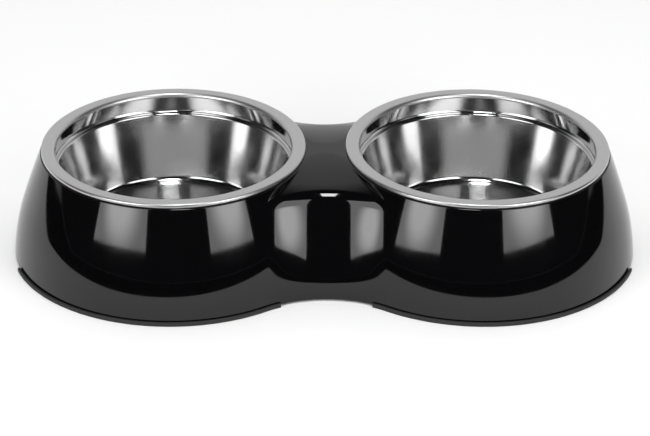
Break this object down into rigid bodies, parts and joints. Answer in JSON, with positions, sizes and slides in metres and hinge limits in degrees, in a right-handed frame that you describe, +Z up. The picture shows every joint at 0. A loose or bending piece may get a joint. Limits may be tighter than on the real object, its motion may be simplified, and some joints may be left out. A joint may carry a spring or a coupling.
{
  "type": "double pet bowl",
  "caption": "Low pet feeding station: a glossy waisted stand with round steel bowls that lift out of its top, on rubber strips along its lower edge.",
  "frame": {"origin": "on the floor, under the middle of the waist", "axes": "+X from the left bowl to the right bowl, +Y towards the back of the picture, +Z up"},
  "size_m": [0.3458, 0.1818, 0.063],
  "materials": {
    "gloss_black_moulding": "moulded melamine, high gloss",
    "stainless_steel": "satin rim, polished neck and wall",
    "black_rubber": "matte"
  },
  "bodies": {
    "stand": {"shell": "gloss_black_moulding", "left_front_rubber_strip": "black_rubber", "left_back_rubber_strip": "black_rubber", "right_front_rubber_strip": "black_rubber", "right_back_rubber_strip": "black_rubber"},
    "left_dish": {"left_bowl": "stainless_steel"},
    "right_dish": {"right_bowl": "stainless_steel"}
  },
  "joints": [
    {"name": "left_bowl_lift", "type": "slide", "parent": "stand", "child": "left_dish", "axis": [0, 0, 1], "range_m": [0, 0.08]},
    {"name": "right_bowl_lift", "type": "slide", "parent": "stand", "child": "right_dish", "axis": [0, 0, 1], "range_m": [0, 0.08]}
  ]
}
